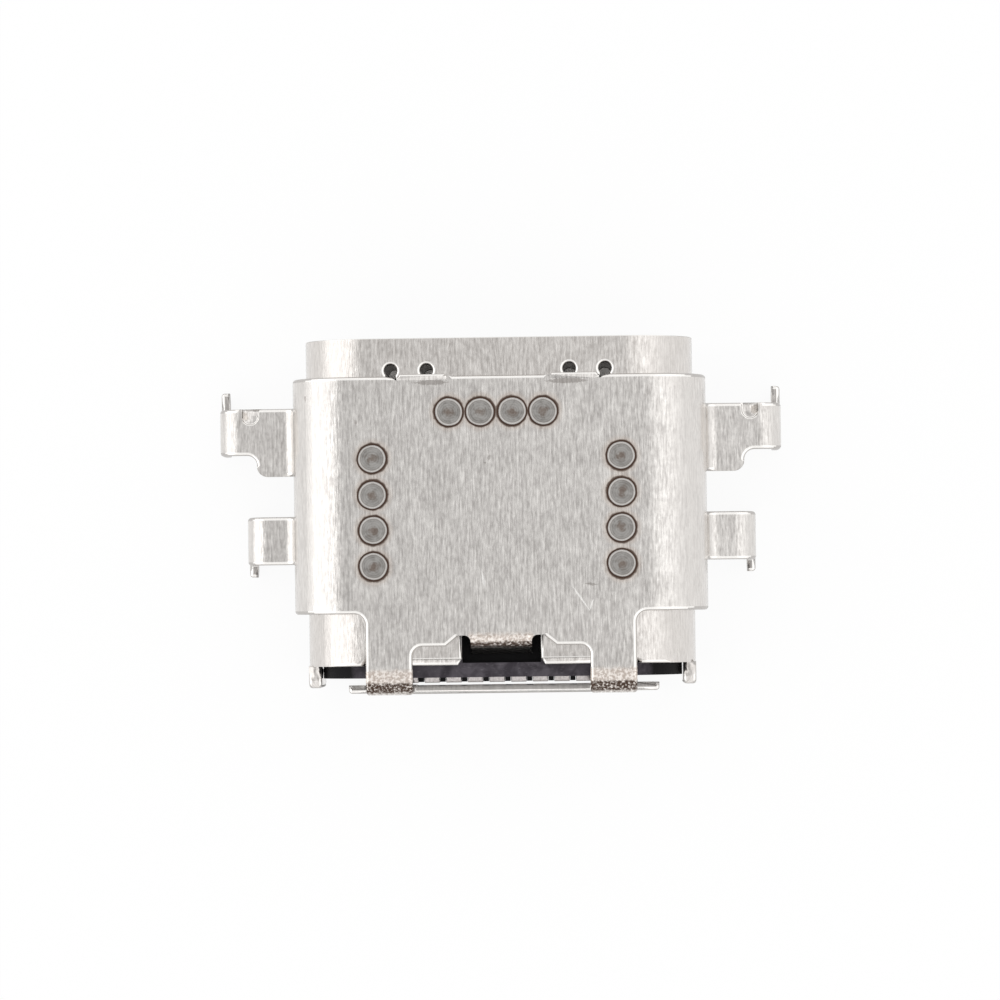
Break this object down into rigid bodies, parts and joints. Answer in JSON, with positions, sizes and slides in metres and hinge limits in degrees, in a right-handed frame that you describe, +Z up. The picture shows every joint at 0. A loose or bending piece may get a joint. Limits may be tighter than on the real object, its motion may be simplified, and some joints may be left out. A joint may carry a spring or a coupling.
{
  "type": "usb-c socket",
  "caption": "Mid-mount USB-C socket in a steel shell with a welded cover, clip legs and a two-row contact tongue.",
  "frame": {"origin": "centre of the mouth, in the plane of its rim", "axes": "+X across the mouth, +Y the way the plug goes in, +Z up, away from the circuit board"},
  "size_m": [0.0132, 0.0082, 0.0036],
  "materials": {
    "cover_steel": "brushed",
    "shell_steel": "brushed",
    "plate_steel": "satin",
    "contact_gold": "satin",
    "black_plastic": "matte"
  },
  "bodies": {
    "root": {"outer_cover": "cover_steel", "inner_shell": "shell_steel", "tongue_housing": "black_plastic", "upper_contact_carrier": "black_plastic", "lower_contact_carrier": "black_plastic", "mid_plate": "plate_steel", "upper_ground_plate": "plate_steel", "lower_ground_plate": "plate_steel", "contact_a1": "contact_gold", "contact_a2": "contact_gold", "contact_a3": "contact_gold", "contact_a4": "contact_gold", "contact_a5": "contact_gold", "contact_a6": "contact_gold", "contact_a7": "contact_gold", "contact_a8": "contact_gold", "contact_a9": "contact_gold", "contact_a10": "contact_gold", "contact_a11": "contact_gold", "contact_a12": "contact_gold", "contact_b1": "contact_gold", "contact_b2": "contact_gold", "contact_b3": "contact_gold", "contact_b4": "contact_gold", "contact_b5": "contact_gold", "contact_b6": "contact_gold", "contact_b7": "contact_gold", "contact_b8": "contact_gold", "contact_b9": "contact_gold", "contact_b10": "contact_gold", "contact_b11": "contact_gold", "contact_b12": "contact_gold"}
  },
  "joints": []
}
